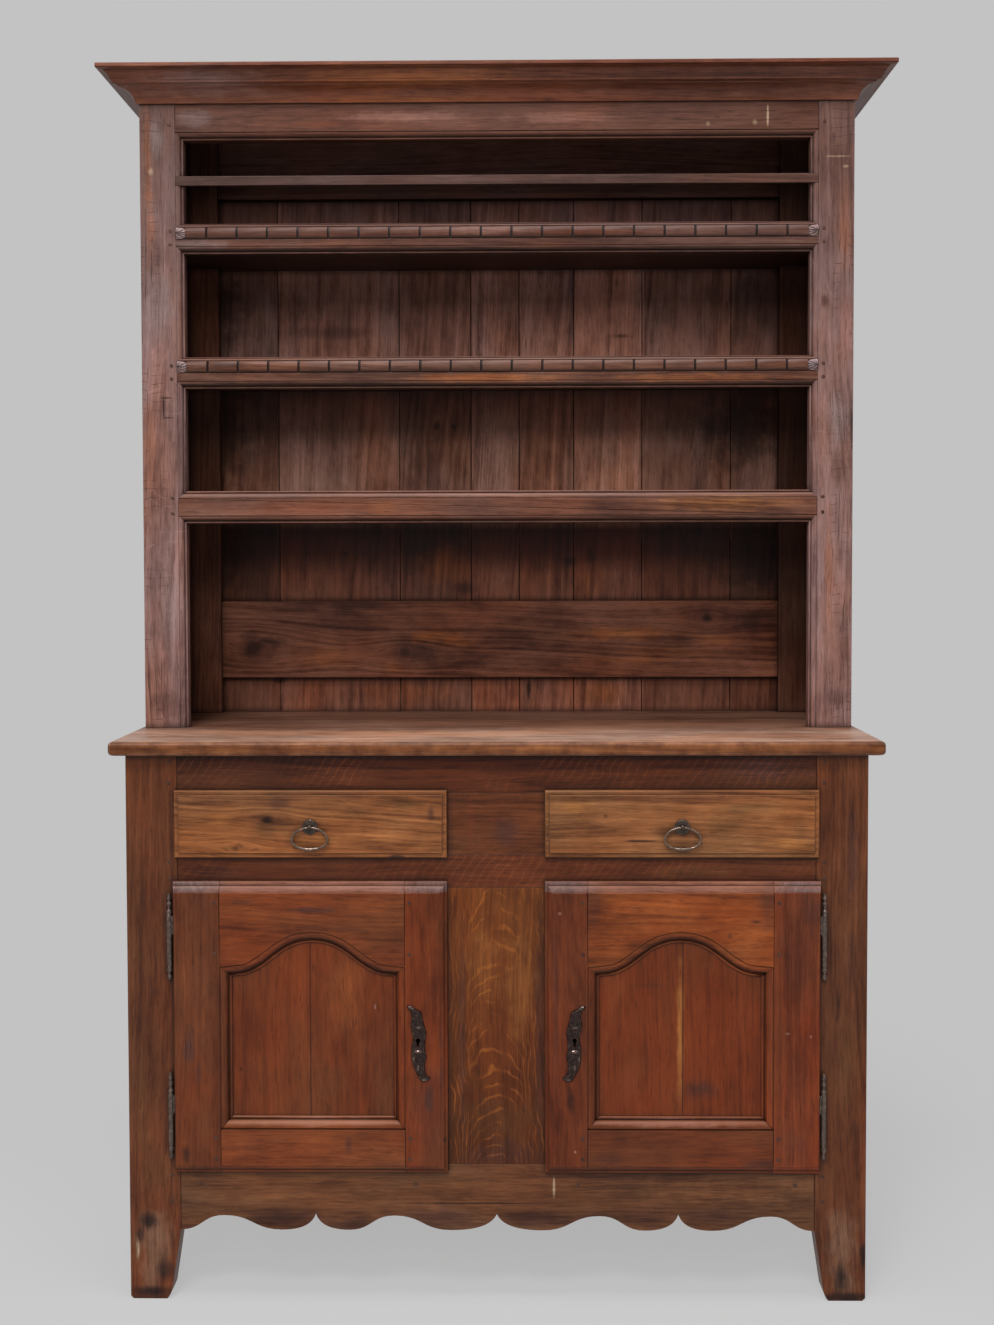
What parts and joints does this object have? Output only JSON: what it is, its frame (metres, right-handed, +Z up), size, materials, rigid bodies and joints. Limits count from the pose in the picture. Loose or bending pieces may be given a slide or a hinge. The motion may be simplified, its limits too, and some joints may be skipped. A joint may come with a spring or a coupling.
{
  "type": "welsh dresser",
  "caption": "Country dresser: a tall open plate rack with moulded shelves and cornice on a base with drawers and panelled doors above a scalloped apron.",
  "frame": {"origin": "on the floor, at the middle of the whole outline in width and depth", "axes": "+Z up, +X to the right as seen from the front, +Y to the back, so the doors and drawers face -Y"},
  "size_m": [1.416, 0.5996, 2.15],
  "materials": {
    "base_wood": "worn wax",
    "centre_oak": "worn wax",
    "pine": "bare, darkened",
    "worktop_wood": "worn wax, satin",
    "drawer_wood": "worn wax",
    "door_wood": "worn wax",
    "rack_wood": "worn wax",
    "shade_wood": "bare, darkened",
    "dark_iron": "dark patina, worn bright on edges"
  },
  "bodies": {
    "case": {"front_post_right": "base_wood", "front_post_left": "base_wood", "base_side_right": "base_wood", "base_side_left": "base_wood", "frieze_rail": "base_wood", "mid_rail": "base_wood", "apron": "base_wood", "drawer_divider": "centre_oak", "centre_stile": "centre_oak", "base_back": "pine", "base_floor": "pine", "centre_runner": "pine", "worktop": "worktop_wood", "rack_stile_right": "rack_wood", "rack_stile_left": "rack_wood", "rack_side_right": "rack_wood", "rack_side_left": "rack_wood", "rack_top_rail": "rack_wood", "shelf_rail_upper": "rack_wood", "shelf_rail_middle": "rack_wood", "shelf_rail_lower": "rack_wood", "plate_bar": "rack_wood", "cornice_front": "rack_wood", "cornice_side_right": "rack_wood", "cornice_side_left": "rack_wood", "shelf_upper": "shade_wood", "shelf_middle": "shade_wood", "shelf_lower": "shade_wood", "rack_back": "shade_wood", "back_cross_rail": "shade_wood", "back_top_rail": "shade_wood", "rack_roof": "shade_wood", "hinge_top_frame_half_right": "dark_iron", "hinge_top_frame_half_left": "dark_iron", "hinge_bottom_frame_half_right": "dark_iron", "hinge_bottom_frame_half_left": "dark_iron"},
    "door_right": {"door_hinge_stile_right": "door_wood", "door_lock_stile_right": "door_wood", "door_top_rail_right": "door_wood", "door_bottom_rail_right": "door_wood", "door_panel_right": "door_wood", "escutcheon_right": "dark_iron", "hinge_top_door_half_right": "dark_iron", "hinge_bottom_door_half_right": "dark_iron"},
    "door_left": {"door_hinge_stile_left": "door_wood", "door_lock_stile_left": "door_wood", "door_top_rail_left": "door_wood", "door_bottom_rail_left": "door_wood", "door_panel_left": "door_wood", "escutcheon_left": "dark_iron", "hinge_top_door_half_left": "dark_iron", "hinge_bottom_door_half_left": "dark_iron"},
    "drawer_right": {"drawer_front_right": "drawer_wood", "drawer_box_right": "pine", "pull_post_right": "dark_iron"},
    "ring_right": {"pull_ring_right": "dark_iron"},
    "drawer_left": {"drawer_front_left": "drawer_wood", "drawer_box_left": "pine", "pull_post_left": "dark_iron"},
    "ring_left": {"pull_ring_left": "dark_iron"}
  },
  "joints": [
    {"name": "door_right_hinge", "type": "hinge", "parent": "case", "child": "door_right", "pos_m": [0.557, -0.28295, 0.475], "axis": [0, 0, 1], "range_deg": [0, 120]},
    {"name": "door_left_hinge", "type": "hinge", "parent": "case", "child": "door_left", "pos_m": [-0.557, -0.28295, 0.475], "axis": [0, 0, -1], "range_deg": [0, 120]},
    {"name": "drawer_right_slide", "type": "slide", "parent": "case", "child": "drawer_right", "axis": [0, -1, 0], "range_m": [0, 0.38]},
    {"name": "drawer_left_slide", "type": "slide", "parent": "case", "child": "drawer_left", "axis": [0, -1, 0], "range_m": [0, 0.38]},
    {"name": "ring_right_swing", "type": "hinge", "parent": "drawer_right", "child": "ring_right", "pos_m": [0.31525, -0.29475, 0.819], "axis": [-1, 0, 0], "range_deg": [0, 95]},
    {"name": "ring_left_swing", "type": "hinge", "parent": "drawer_left", "child": "ring_left", "pos_m": [-0.31525, -0.29475, 0.819], "axis": [-1, 0, 0], "range_deg": [0, 95]}
  ]
}
